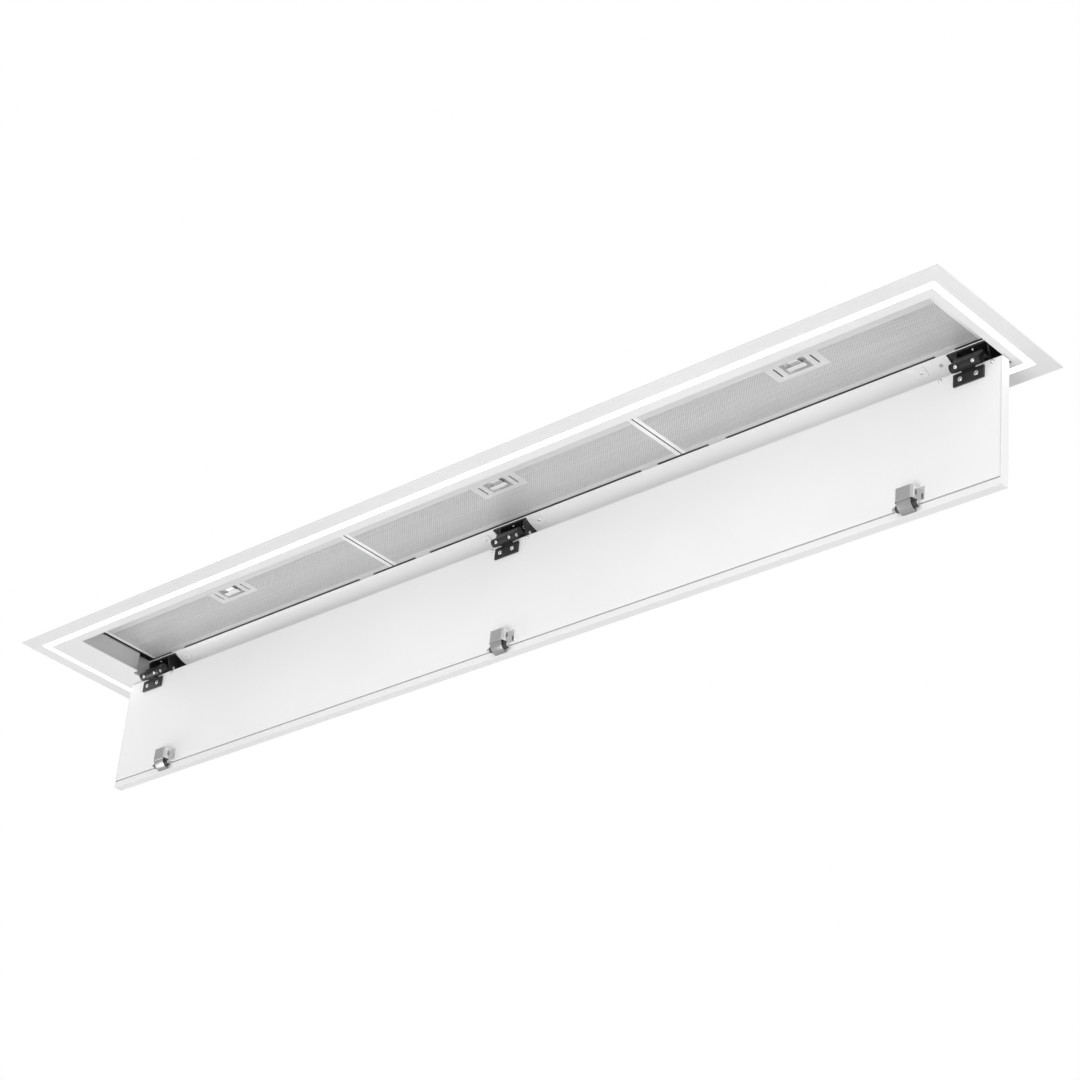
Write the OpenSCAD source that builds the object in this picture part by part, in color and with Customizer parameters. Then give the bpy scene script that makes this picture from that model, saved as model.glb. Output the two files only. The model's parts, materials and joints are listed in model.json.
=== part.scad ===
// Ceiling range hood for an outside fan: a flush flange with a light ring, three mesh filters in a
// shallow bay, and a cover panel that hangs open on three two-pivot hinges with cranked arms.
// Origin: centre of the ceiling cut-out, in the plane of the ceiling. X runs along the hood,
// Y towards the hinges, Z up into the ceiling. The panel stands open, as it hangs by itself.

/* [Ceiling flange and light] */
// Length of the flange
flange_l = 1800; // [1620:5:1980]
// Width of the flange
flange_w = 252.5; // [250:0.5:280]
// Thickness of the flange and of the plate inside the light ring
face_t = 2; // [1.5:0.1:3]
// Distance from the flange's edge to the light slot
slot_inset = 23.2; // [20:0.2:30]
// Width of the light slot
slot_w = 9.6; // [8:0.2:14]
// Height of the light channel above the face sheets
channel_h = 14; // [10:1:20]

/* [Opening and filter bay] */
// Plate left standing at the front of the opening
margin_front = 15.5; // [14:0.5:20]
// Plate left standing at the left end of the opening
margin_left = 61; // [40:1:80]
// Plate left standing at the right end of the opening
margin_right = 12.5; // [10:0.5:20]
// Plate left standing behind the opening
margin_rear = 9.5; // [8:0.5:12]
// Depth of the hinge pocket behind the filters
pocket_w = 31; // [29:0.5:36]
// Height from the visible face up to the filters
recess_h = 34; // [30:0.5:45]
// Width of the bay's ledge in front of the filters
ledge_front = 32; // [26:1:36]
// Width of the bay's ledge at the right end
ledge_right = 25; // [15:1:40]
// Thickness of the bay and housing sheet
sheet_t = 1.2; // [1:0.1:2]
// Thickness of the hinge rail's sheet
rail_t = 1.5; // [1.2:0.1:2]
// Bulge of the hinge rail's roof
rail_bulge = 1.5; // [1:0.5:4]
// Fall of the hinge rail's roof towards the back
roof_drop = 10; // [6:1:14]

/* [Filters] */
// Thickness of a filter
filter_t = 9; // [8:0.5:14]
// Width of a filter frame's end bars
bar_end = 7; // [5:0.5:12]
// Width of a filter frame's front bar
bar_front = 13; // [10:0.5:16]
// Width of a filter frame's rear bar
bar_rear = 7; // [5:0.5:12]
// Gap round each filter
filter_gap = 2; // [1.5:0.1:4]
// Length of the latch plate
latch_l = 85; // [70:1:100]
// Width of the latch plate
latch_w = 37; // [34:1:44]
// Length of the finger recess
finger_l = 40; // [34:1:50]
// Width of the finger recess
finger_w = 23; // [20:1:26]
// Travel of the latch bolt
bolt_travel = 7; // [4:0.5:8]

/* [Cover panel] */
// How far the panel reaches past the opening's left end
lap_left = 46.8; // [30:0.2:58]
// How far the panel reaches past the opening's right end
lap_right = 2.3; // [1:0.1:8]
// Height of the cover panel as it hangs, which is its width when shut
panel_h = 179; // [178:0.5:182]
// Thickness of the cover panel
panel_t = 14; // [11:0.5:18]
// Thickness of the panel's sheet
skin_t = 1.2; // [0.8:0.1:2]
// Height of the rim that shows under the liner
rim_h = 11.5; // [8:0.5:16]
// Lean of the hanging panel away from the filters, in degrees
lean = 3.3; // [0:0.1:6]
// Suction gap between the shut panel and the face
suction_gap = 14; // [13.5:0.5:18]

/* [Hinges] */
// Width of a hinge arm
arm_w = 45; // [40:1:50]
// Radius of an arm's upper knuckle
knuckle_r = 5; // [4.5:0.1:5.5]
// Radius of an arm's lower barrel
barrel_r = 6.2; // [5.8:0.1:6.4]
// Thickness of an arm between its knuckles
arm_t = 5; // [4:0.2:5.6]
// Radius of the hinge pins
pin_r = 2.5; // [2:0.1:3]
// Height of the upper pivot above the visible face
pivot_h = 14; // [13:0.5:18]
// Depth of the hinge leaf below the panel's top edge
leaf_h = 22; // [20:0.5:28]
// Thickness of the hinge leaf
leaf_t = 3; // [2:0.1:3.5]
// Distance between a leaf's two screws
screw_pitch = 24; // [18:1:28]

/* [Catches] */
// Width of a catch's magnet face
magnet_w = 24; // [18:1:30]
// Height of a catch
catch_h = 18.5; // [15:0.5:18.5]
// How far a catch stands off the panel
catch_d = 15; // [13:0.5:15.5]
// Width of a catch at its feet
catch_base = 44; // [38:1:50]
// Radius of a catch's roller
roller_r = 4.7; // [4:0.1:4.8]
// Length of a catch's roller
roller_l = 32; // [26:1:36]

/* [Housing and ducts] */
// Height of the housing above the ceiling
housing_h = 150; // [120:5:220]
// Outer radius of the duct collars
duct_r = 75; // [60:1:80]
// Length of the duct collars
duct_l = 60; // [55:5:100]
// Distance between the duct collars
duct_pitch = 900; // [700:10:1000]
// Distance between the hanging rods along the hood
hang_pitch_x = 1560; // [1300:10:1600]
// Distance between the hanging rods across the hood
hang_pitch_y = 120; // [90:5:140]
// Radius of the holes for the hanging rods
hang_r = 4.5; // [3.5:0.5:6]

/* [Hidden] */

// Common clearances: cut overrun, seat of a piece, side play, shaft in its hole, screw in its hole
over = 1;
seat_gap = 0.3;
side_play = 0.4;
run_play = 0.05;
screw_play = 0.2;
$fn = 48;

// Heights: the face is the visible underside, the ceiling is zero
face_z = -face_t;
bay_z = face_z + recess_h;
filter_z = bay_z + seat_gap;

// Light slot, plate and opening
slot_out_x = flange_l / 2 - slot_inset;
slot_out_y = flange_w / 2 - slot_inset;
plate_x = slot_out_x - slot_w;
plate_y = slot_out_y - slot_w;
left_undercut = 4;
open_x0 = -plate_x + margin_left;
open_x1 = plate_x - margin_right;
open_y0 = -plate_y + margin_front;
rail_y = plate_y - pocket_w;
open_y1 = plate_y - margin_rear;
bay_x0 = open_x0 - left_undercut;

// Light
channel_t = 1.5;
diffuser_t = 3;
strip_w = 6;
strip_t = 1.2;

// Rail: a rolled front edge that the filters' hooks turn on, and a roof that bulges downwards
hem_r = 1;
hem_y = rail_y + hem_r;
hem_z = bay_z - hem_r;
rail_back_y = plate_y - channel_t - seat_gap;
roof_a = [hem_y, bay_z - rail_t];
roof_b = [rail_back_y, roof_a[1] - roof_drop];
roof_chord = norm(roof_b - roof_a);
roof_r = (roof_chord * roof_chord / 4 + rail_bulge * rail_bulge) / (2 * rail_bulge);
roof_half = asin(roof_chord / 2 / roof_r);
roof_turn = atan2(roof_b[1] - roof_a[1], roof_b[0] - roof_a[0]);
roof_centre = (roof_a + roof_b) / 2 + (roof_r - rail_bulge) * [-sin(roof_turn), cos(roof_turn)];
roof_steps = 12;
pad_l = 17;
pad_w = 15;
pad_t = 1;
pad_share = 0.36;
rivet_r = 2.2;
rivet_h = 1.2;

// Filters: where each starts and how long it is, as shares of the bay between its ledges
filter_start = open_x0 + side_play;
bay_l = open_x1 - ledge_right - filter_start;
filter_shares = [0.3485, 0.3485, 0.303];
start_shares = [0, filter_shares[0], filter_shares[0] + filter_shares[1]];
filter_x = [for (s = start_shares) filter_start + s * bay_l];
filter_l = [for (s = filter_shares) s * bay_l - filter_gap];
filter_y0 = open_y0 + ledge_front + filter_gap;
filter_y1 = rail_y - filter_gap;
mesh_inset = 1;
mesh_t = 6;
hook_w = 30;
hook_t = 2;
hook_reach = 7;
hook_inset = 60;

// Latches
latch_shifts = [4.5, 12, 14];
latch_x = [for (i = [0:2]) filter_x[i] + filter_l[i] / 2 + latch_shifts[i]];
latch_t = 2;
latch_lap = 5;
latch_y0 = filter_y0 + bar_front - latch_lap;
finger_lap = 6.5;
finger_y0 = latch_y0 + finger_lap;
cup_t = 1;
cup_h = 7.5;
bolt_w = 16;
bolt_t = 2.2;
bolt_z = filter_z + latch_t + seat_gap;
bolt_y0 = filter_y0 + seat_gap;
tab_l = 30;
tab_w = 8;
tab_stop = 2;
tab_proud = 1;
tab_y = finger_y0 + bolt_travel + tab_stop;
vent_w = 2.5;
vent_l = 20;
vent_shift = 10;
ledge_lip = bolt_z - side_play;

// Cover panel: its hanging place and its shut place, both given by the top inner edge
panel_x0 = open_x0 - lap_left;
panel_x1 = open_x1 + lap_right;
panel_x = (panel_x0 + panel_x1) / 2;
panel_l = panel_x1 - panel_x0;
hang_back = 0.95;
hang_drop = 2;
shut_back = 3;
hang_edge = [rail_y - hang_back, face_z - hang_drop];
shut_edge = [plate_y - shut_back, face_z - suction_gap];
rim_gap = 1.8;
side_lip = 2;

// Hinge: the lower pivot in the hanging and in the shut panel, and the upper pivot on the line
// that is equally far from both. The arm's elbow clears the plate's edge when the panel is shut.
barrel_rise = 2;
barrel_gap = 0.8;
knuckle_v = barrel_r + barrel_gap;
lower_pivot = hang_edge + [-barrel_rise * sin(lean) - knuckle_v * cos(lean),
  barrel_rise * cos(lean) - knuckle_v * sin(lean)];
shut_pivot = shut_edge + [barrel_rise, knuckle_v];
mid_pivot = (lower_pivot + shut_pivot) / 2;
chord = shut_pivot - lower_pivot;
pivot_k = (face_z + pivot_h - mid_pivot[1]) / chord[0];
upper_pivot = mid_pivot + pivot_k * [-chord[1], chord[0]];
arm_swing = 2 * atan2(norm(chord) / 2, norm(upper_pivot - mid_pivot));
elbow_drop = 3;
elbow_swell = 0.3;
strap_edge = 0.4;
elbow_shut = [open_y1 - arm_t, face_z - elbow_drop] - upper_pivot;
elbow = upper_pivot + [elbow_shut[0] * cos(arm_swing) + elbow_shut[1] * sin(arm_swing),
  elbow_shut[1] * cos(arm_swing) - elbow_shut[0] * sin(arm_swing)];
centre_w = 18;
arm_rivet_pitch = 26;
arm_rivet_r = 2.6;
arm_rivet_h = 0.4;
arm_rivet_sink = 0.8;
arm_rivet_turn = 31;
cheek_t = 2.5;
cheek_x = arm_w / 2 + side_play;
cheek_low = 4;
cheek_nose = 7;
bracket_t = 3;
bracket_front = 0.5;
wing_w = 13;
hinge_in_left = 13.2;
hinge_in_right = 46.7;
hinge_mid_shift = 7;
hinge_x = [open_x0 + hinge_in_left, panel_x + hinge_mid_shift, open_x1 - hinge_in_right];
cheek_out = cheek_x + cheek_t;
wing_x0 = [-cheek_out, -cheek_out - wing_w, -cheek_out - wing_w];
wing_x1 = [cheek_out + wing_w, cheek_out, hinge_in_right - side_play];
left_notch = 26.5;
notch_r = 6;
notch_y = rail_y - left_notch;
notch_x = hinge_x[0] - cheek_out - side_play;
stud_r = 3;
stud_h = 2.5;
stud_u = 4;
stud_shares = [[0, 1], [1, -0.69], [1, 0.84], [2, -0.99], [2, 0.76]];
pad_shares = [[0, 1.28], [1, 1], [1, -1.36], [2, -1.88]];
bolt_shares = [0.34, 0.34];
roof_stud_share = -1.2;
screw_shares = [[-0.04, 0.2], [0.29, 0.6]];
bracket_top = bay_z - rail_t - seat_gap;
bracket_back = rail_back_y - rail_t - seat_gap;
hang_bolt_l = 6;
leaf_l = arm_w + 2 * side_play;
leaf_gap = 1;
leaf_step = barrel_r - barrel_rise + leaf_gap;
leaf_screw_u = (leaf_step + leaf_h) / 2;
screw_r = 3.4;
screw_head_h = 1;
screw_shank_r = 1.9;
screw_shank_l = 6;

// Catches
catch_end_left = 127;
catch_mid_shift = 17;
catch_end_right = 135;
catch_x = [panel_x0 + catch_end_left, panel_x + catch_mid_shift, panel_x1 - catch_end_right];
catch_t = 1;
catch_u = 146;
catch_end_u = catch_u + catch_h;
foot_w = 8;
bend_r = 4;
bend_steps = 6;
side_hole_r = 2;
magnet_d = 8;
tongue_w = 21;
tongue_t = 0.8;
tongue_r = 13.5;
tongue_steps = 10;
tongue_foot = 0.6;
roller_gap = 0.6;
roller_rise = 1.2;
roller_u = catch_end_u + roller_r + roller_gap;
roller_v = roller_r + roller_rise;
roller_pin_r = 2;
roller_wall = 1.2;
ear_t = 1.2;
knob_r = 3.4;
knob_l = 3;

// Housing: half its length and width, and the flange's rebate that it stands in
housing_x = slot_out_x + channel_t + sheet_t;
housing_y = slot_out_y + channel_t + sheet_t;
rebate = 0.5;

// Ducts
roof_z = housing_h + sheet_t;
collar_t = 1.2;
collar_lip = 14;
duct_x = [-duct_pitch / 2, duct_pitch / 2];
damper_h = 20;
damper_z = roof_z + damper_h;
damper_t = 1.2;
damper_gap = 1;
damper_knuckle_r = 3.6;
damper_knuckle_l = 18;
damper_pin_r = 2;
damper_pitch = 40;
stop_w = 3;

// Electrics and lugs on top of the housing
driver_size = [160, 44, 30];
driver_ear = 14;
driver_ear_t = 3;
driver_x = 220;
driver_hole_r = 2.2;
box_size = [130, 90, 40];
box_t = 2;
box_x = -90;
lid_t = 2.5;
lid_lap = 2;
gland_r = 9;
gland_nut_r = 12;
gland_nut_h = 7;
gland_bore_r = 4;
gland_l = 22;
lug_l = 40;
lug_w = 30;
lug_h = 28;
lug_t = 3;

white = [0.93, 0.93, 0.93];
steel = [0.72, 0.73, 0.74];
chrome = [0.86, 0.87, 0.88];
black = [0.08, 0.08, 0.09];

// Points of an arc round a centre
function arc(c, r, a0, a1, steps) =
  [for (i = [0:steps]) c + r * [cos(a0 + (a1 - a0) * i / steps), sin(a0 + (a1 - a0) * i / steps)]];

// A flat ring between two rectangles, given by half sizes
module rect_ring(ox, oy, ix, iy, h) {
  linear_extrude(h) difference() {
    square([2 * ox, 2 * oy], center = true);
    square([2 * ix, 2 * iy], center = true);
  }
}

// A cylinder along X, centred on X
module rod(r, l) { rotate([0, 90, 0]) cylinder(r = r, h = l, center = true); }

// A block from one corner to the opposite one
module block(a, b) { translate(a) cube([b[0] - a[0], b[1] - a[1], b[2] - a[2]]); }

// An outline of Y and Z points, extruded along X and centred on X
module along_x(l) { translate([-l / 2, 0, 0]) rotate([90, 0, 90]) linear_extrude(l) children(); }

// Places a piece in the hanging panel's own frame: Y zero is its inner face, Z zero its top edge
module on_panel(x = 0) { translate([x, hang_edge[0], hang_edge[1]]) rotate([lean, 0, 0]) children(); }

// A block along X that joins two points of Y and Z
module link(a, b, t, l) {
  translate([-l / 2, a[0], a[1]]) rotate([atan2(b[1] - a[1], b[0] - a[0]), 0, 0])
    translate([0, 0, -t / 2]) cube([l, norm(b - a), t]);
}

// Ceiling flange with its light

// The channel and the housing stand in a rebate, so that only the outer face touches the ceiling
module flange_frame() {
  color(white) difference() {
    translate([0, 0, face_z])
      rect_ring(flange_l / 2, flange_w / 2, slot_out_x, slot_out_y, face_t);
    translate([0, 0, -rebate])
      rect_ring(housing_x + seat_gap, housing_y + seat_gap, slot_out_x - over, slot_out_y - over,
        rebate + over);
  }
}

module light_channel() {
  color(steel) {
    translate([0, 0, -rebate]) rect_ring(slot_out_x + channel_t, slot_out_y + channel_t,
      slot_out_x, slot_out_y, channel_h + rebate);
    rect_ring(plate_x, plate_y, plate_x - channel_t, plate_y - channel_t, channel_h);
    translate([0, 0, channel_h - channel_t])
      rect_ring(slot_out_x + channel_t, slot_out_y + channel_t, plate_x - channel_t,
        plate_y - channel_t, channel_t);
  }
}

module light_diffuser() {
  color([1, 1, 1]) translate([0, 0, face_z])
    rect_ring(slot_out_x - seat_gap, slot_out_y - seat_gap, plate_x + seat_gap, plate_y + seat_gap,
      diffuser_t);
}

module light_strip() {
  edge = (slot_w - strip_w) / 2;
  color([0.9, 0.88, 0.7]) translate([0, 0, channel_h - channel_t - strip_t])
    rect_ring(slot_out_x - edge, slot_out_y - edge, plate_x + edge, plate_y + edge, strip_t);
}

// Plate with the opening, and a notch with a round corner beside the left hinge
module inner_plate() {
  color(white) translate([0, 0, face_z]) linear_extrude(face_t) difference() {
    square([2 * plate_x, 2 * plate_y], center = true);
    translate([open_x0, open_y0]) square([open_x1 - open_x0, open_y1 - open_y0]);
    translate([notch_x, notch_y + notch_r])
      square([open_x0 - notch_x + over, open_y1 - notch_y - notch_r]);
    translate([notch_x + notch_r, notch_y]) square([open_x0 - notch_x - notch_r + over, notch_r + over]);
    translate([notch_x + notch_r, notch_y + notch_r]) circle(r = notch_r);
  }
}

// Bay: front wall, end walls and the ledges round the filters; the front ledge's lip holds the bolts,
// and the left end wall steps outwards beside the hinge
module filter_bay() {
  ledge_y = open_y0 + ledge_front;
  ledge_x = open_x1 - ledge_right;
  left = bay_x0 - sheet_t;
  right = open_x1 + sheet_t;
  front = open_y0 - sheet_t;
  color(steel) {
    linear_extrude(bay_z) polygon([[left, front], [right, front], [right, rail_back_y],
      [open_x1, rail_back_y], [open_x1, open_y0], [bay_x0, open_y0], [bay_x0, notch_y],
      [notch_x, notch_y], [notch_x, rail_back_y], [notch_x - sheet_t, rail_back_y],
      [notch_x - sheet_t, notch_y - sheet_t], [left, notch_y - sheet_t]]);
    translate([0, 0, bay_z - sheet_t]) linear_extrude(sheet_t) polygon([[left, front], [right, front],
      [right, filter_y1], [ledge_x, filter_y1], [ledge_x, ledge_y], [left, ledge_y]]);
    block([bay_x0, ledge_y - sheet_t, bay_z - sheet_t], [ledge_x, ledge_y, ledge_lip]);
  }
}

// Rail: rolled edge, roof and a back web that stands on the plate, cut away for the brackets
module hinge_rail() {
  low = roof_turn - 90;
  cut_z = roof_b[1] - rail_bulge - over;
  face = arc(roof_centre, roof_r, low - roof_half, low + roof_half, roof_steps);
  top = arc(roof_centre, roof_r - rail_t, low + roof_half, low - roof_half, roof_steps);
  color(white) difference() {
    translate([(bay_x0 + open_x1) / 2, 0, 0]) {
      along_x(open_x1 - bay_x0) {
        polygon(concat(face, top));
        translate([rail_back_y - rail_t, 0]) square([rail_t, roof_b[1] + rail_t]);
      }
      translate([0, hem_y, hem_z]) rod(hem_r, open_x1 - bay_x0);
    }
    for (i = [0:2]) block([hinge_x[i] + wing_x0[i] - side_play - over, rail_y - over, cut_z],
      [hinge_x[i] + wing_x1[i] + side_play, rail_back_y - rail_t, bay_z + over]);
  }
}

// A piece on the roof's lower face, at a share of the way back
module on_roof(x, share) {
  translate([x, roof_centre[0], roof_centre[1]])
    rotate([roof_turn + (2 * share - 1) * roof_half, 0, 0]) translate([0, 0, -roof_r]) children();
}

module rail_pads() {
  color(white) for (s = pad_shares) on_roof(hinge_x[s[0]] + s[1] * arm_w, pad_share)
    block([-pad_l / 2, -pad_w / 2, -pad_t], [pad_l / 2, pad_w / 2, 0]);
}

// Rivets in the pads, a stud on the roof, and each bracket's two screws and hanging bolt
module rail_rivets() {
  plate_z = bracket_top - bracket_t;
  color(chrome) {
    for (s = pad_shares) on_roof(hinge_x[s[0]] + s[1] * arm_w, pad_share)
      translate([0, 0, -pad_t - rivet_h]) cylinder(r = rivet_r, h = rivet_h);
    on_roof(hinge_x[2] + roof_stud_share * arm_w, pad_share)
      translate([0, 0, -rivet_h]) cylinder(r = stud_r, h = rivet_h);
    for (i = [0:2], s = screw_shares)
      translate([hinge_x[i] + s[0] * arm_w, rail_y + s[1] * pocket_w, plate_z - rivet_h])
        cylinder(r = rivet_r, h = rivet_h);
    for (i = [0, 1])
      translate([hinge_x[i] + bolt_shares[i] * arm_w, rail_y + pad_share * pocket_w,
        plate_z - hang_bolt_l]) cylinder(r = stud_r, h = hang_bolt_l);
  }
}

// Housing above the ceiling

module housing_shell() {
  color(steel) translate([0, 0, -rebate]) rect_ring(housing_x, housing_y, housing_x - sheet_t,
    housing_y - sheet_t, housing_h + rebate);
}

module housing_top() {
  color(steel) translate([0, 0, housing_h]) difference() {
    linear_extrude(sheet_t) square(2 * [housing_x, housing_y], center = true);
    for (x = duct_x) translate([x, 0, -over]) cylinder(r = duct_r - collar_t, h = sheet_t + 2 * over);
  }
}

// Bridges on the housing: a hanging rod goes through each, with its nut underneath
module hanging_lugs() {
  color(steel) for (x = [-1, 1] * hang_pitch_x / 2, y = [-1, 1] * hang_pitch_y / 2)
    translate([x, y, roof_z]) difference() {
      block([-lug_l / 2, -lug_w / 2, 0], [lug_l / 2, lug_w / 2, lug_h]);
      block([-lug_l / 2 + lug_t, -lug_w / 2 - over, -over],
        [lug_l / 2 - lug_t, lug_w / 2 + over, lug_h - lug_t]);
      cylinder(r = hang_r, h = lug_h + over);
    }
}

// Hinges

// Bracket in the rail's cut-out: a top plate, a back web, and two cheeks with the upper pin's bores
module hinge_bracket(i) {
  front = rail_y + bracket_front;
  color(black) translate([hinge_x[i], 0, 0]) difference() {
    union() {
      block([wing_x0[i], front, bracket_top - bracket_t], [wing_x1[i], bracket_back, bracket_top]);
      block([wing_x0[i], bracket_back - bracket_t, cheek_low], [wing_x1[i], bracket_back, bracket_top]);
      for (s = [-1, 1]) translate([s * (cheek_x + cheek_t / 2), 0, 0]) along_x(cheek_t)
        polygon([[front, bracket_top], [front, bracket_top - 2 * bracket_t],
          [upper_pivot[0] - cheek_nose, cheek_low], [bracket_back, cheek_low],
          [bracket_back, bracket_top]]);
    }
    translate([0, upper_pivot[0], upper_pivot[1]]) rod(pin_r, 2 * (cheek_out + over));
  }
}

module hinge_bracket_left() { hinge_bracket(0); }
module hinge_bracket_mid() { hinge_bracket(1); }
module hinge_bracket_right() { hinge_bracket(2); }

// Places a piece at an arm's lower pivot, with Z pointing out through the barrel's front
module on_barrel(x) {
  translate([x, lower_pivot[0], lower_pivot[1]]) rotate([90 + arm_rivet_turn, 0, 0]) children();
}

// Arm: a barrel below with room for the leaf's knuckle, a neck, an elbow and a shelf to the upper
// knuckle; the neck and the shelf stand back a little from the barrels' ends
module hinge_arm(x) {
  elbow_w = arm_w - 2 * strap_edge;
  neck_w = elbow_w - 2 * strap_edge;
  shelf_w = neck_w - strap_edge;
  color(black) difference() {
    translate([x, 0, 0]) {
      translate([0, lower_pivot[0], lower_pivot[1]]) rod(barrel_r, arm_w);
      translate([0, elbow[0], elbow[1]]) rod(arm_t / 2 + elbow_swell, elbow_w);
      translate([0, upper_pivot[0], upper_pivot[1]]) rod(knuckle_r, arm_w);
      link(lower_pivot, elbow, arm_t, neck_w);
      link(elbow, upper_pivot, arm_t, shelf_w);
    }
    translate([x, lower_pivot[0], lower_pivot[1]]) {
      rod(leaf_step + barrel_rise + side_play, centre_w + 2 * side_play);
      rod(pin_r + run_play, arm_w + 2 * over);
    }
    translate([x, upper_pivot[0], upper_pivot[1]]) rod(pin_r + run_play, arm_w + 2 * over);
    for (s = [-1, 1] * arm_rivet_pitch / 2) on_barrel(x + s) {
      translate([0, 0, barrel_r - arm_rivet_sink]) cylinder(r = arm_rivet_r, h = over + arm_rivet_sink);
      cylinder(r = arm_rivet_r / 2, h = barrel_r);
    }
  }
}

module hinge_arm_left() { hinge_arm(hinge_x[0]); }
module hinge_arm_mid() { hinge_arm(hinge_x[1]); }
module hinge_arm_right() { hinge_arm(hinge_x[2]); }

// Upper pins, tight in the brackets' cheeks
module arm_pins() {
  color(chrome) for (x = hinge_x) translate([x, upper_pivot[0], upper_pivot[1]])
    rod(pin_r, 2 * cheek_out);
}

// Two rivets in the front of each arm's barrel
module arm_rivets() {
  color(chrome) for (x = hinge_x, s = [-1, 1] * arm_rivet_pitch / 2) on_barrel(x + s) {
    translate([0, 0, pin_r + arm_rivet_sink])
      cylinder(r = arm_rivet_r / 2, h = barrel_r - pin_r - arm_rivet_sink);
    translate([0, 0, barrel_r - arm_rivet_sink])
      cylinder(r = arm_rivet_r, h = arm_rivet_h + arm_rivet_sink);
  }
}

// Leaf on the panel: a plate with two screw holes, and a knuckle that stands above the panel's edge
module hinge_leaf(x) {
  color(black) on_panel(x) difference() {
    union() {
      block([-leaf_l / 2, -leaf_t, -leaf_h], [leaf_l / 2, 0, -leaf_step]);
      block([-centre_w / 2, -knuckle_v, -leaf_step], [centre_w / 2, 0, barrel_rise]);
      translate([0, -knuckle_v, barrel_rise]) rod(barrel_r, centre_w);
    }
    translate([0, -knuckle_v, barrel_rise]) rod(pin_r, centre_w + 2 * over);
    for (s = [-1, 1] * screw_pitch / 2) translate([s, over, -leaf_screw_u]) rotate([90, 0, 0])
      cylinder(r = screw_shank_r + screw_play, h = leaf_t + 2 * over);
  }
}

module hinge_leaf_left() { hinge_leaf(hinge_x[0]); }
module hinge_leaf_mid() { hinge_leaf(hinge_x[1]); }
module hinge_leaf_right() { hinge_leaf(hinge_x[2]); }

// Lower pins, tight in the leaves' knuckles
module leaf_pins() {
  color(chrome) for (x = hinge_x) on_panel(x) translate([0, -knuckle_v, barrel_rise]) rod(pin_r, arm_w);
}

module leaf_screws() {
  color(chrome) for (x = hinge_x, s = [-1, 1] * screw_pitch / 2)
    on_panel(x) translate([s, -leaf_t, -leaf_screw_u]) rotate([90, 0, 0]) {
      cylinder(r = screw_r, h = screw_head_h);
      translate([0, 0, -screw_shank_l]) cylinder(r = screw_shank_r, h = screw_shank_l);
    }
}

// Cover panel

// Tray: outer skin with turned-in walls, and the rim along its lower edge
module panel_tray() {
  half = panel_l / 2;
  color(white) on_panel(panel_x) difference() {
    block([-half, 0, -panel_h], [half, panel_t, 0]);
    block([-half + skin_t, skin_t, -panel_h + skin_t], [half - skin_t, panel_t - skin_t, -skin_t]);
    block([-half + side_lip, -over, -panel_h + rim_h - rim_gap], [half - side_lip, 2 * skin_t, -skin_t]);
  }
}

// Liner: the inner face, with a flange at each long edge that reaches the outer skin
module panel_liner() {
  half = panel_l / 2 - side_lip - side_play;
  low = -panel_h + rim_h;
  top = -skin_t - side_play;
  color(white) on_panel(panel_x) difference() {
    block([-half, 0, low], [half, panel_t - skin_t, top]);
    block([-half - over, skin_t, low + skin_t], [half + over, panel_t, top - skin_t]);
    for (x = hinge_x, s = [-1, 1] * screw_pitch / 2)
      translate([x - panel_x + s, 2 * skin_t, -leaf_screw_u]) rotate([90, 0, 0])
        cylinder(r = screw_shank_r, h = 4 * skin_t);
  }
}

// Studs beside the hinges, near the panel's top edge
module panel_studs() {
  color(chrome) for (s = stud_shares) on_panel(hinge_x[s[0]] + s[1] * arm_w) translate([0, 0, -stud_u])
    rotate([90, 0, 0]) cylinder(r = stud_r, h = stud_h);
}

// Catches

// Outline of the catch's hat section, from foot to foot, for an inset from its outer face
function hat(inset) = let (w = magnet_w / 2 - inset, d = catch_d - inset,
  b = catch_base / 2 - foot_w - inset, r = bend_r - inset)
  concat([[-b, 0]], arc([-w + r, -d + r] - [r, 0] / 2, r, 180, 270, bend_steps),
    arc([w - r, -d + r] + [r, 0] / 2, r, 270, 360, bend_steps), [[b, 0]]);

module catch_bracket(x) {
  color(chrome) on_panel(x) difference() {
    union() {
      translate([0, 0, -catch_end_u]) linear_extrude(catch_h) {
        difference() {
          polygon(hat(0));
          polygon(hat(catch_t));
          translate([-catch_base / 2, 0]) square([catch_base, over]);
        }
        for (s = [-1, 1]) translate([s * (catch_base - foot_w - catch_t) / 2, -catch_t / 2])
          square([foot_w + catch_t, catch_t], center = true);
      }
      for (s = [-1, 1]) translate([s * (roller_l / 2 + side_play + ear_t / 2), 0, 0]) {
        along_x(ear_t) translate([-roller_v, -roller_u]) circle(r = roller_pin_r + roller_wall);
        block([-ear_t / 2, -roller_v, -roller_u - roller_pin_r - roller_wall],
          [ear_t / 2, 0, -catch_end_u]);
        block([-ear_t / 2, -catch_t, -catch_end_u - catch_t], [ear_t / 2, 0, -catch_end_u + catch_t]);
      }
    }
    translate([0, -roller_v, -roller_u]) rod(roller_pin_r, roller_l + 4 * ear_t);
    translate([catch_base / 4 + catch_t, -catch_d / 2, -catch_u - catch_h / 2])
      rod(side_hole_r, foot_w);
  }
}

module catch_bracket_left() { catch_bracket(catch_x[0]); }
module catch_bracket_mid() { catch_bracket(catch_x[1]); }
module catch_bracket_right() { catch_bracket(catch_x[2]); }

// Magnet blocks behind the catches' front faces
module catch_magnets() {
  edge = bend_r / 2 + catch_t;
  color([0.45, 0.46, 0.48]) for (x = catch_x) on_panel(x)
    block([-magnet_w / 2 + edge, -catch_d + catch_t, -catch_end_u + catch_t],
      [magnet_w / 2 - edge, -catch_d + catch_t + magnet_d, -catch_u - catch_t]);
}

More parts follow.
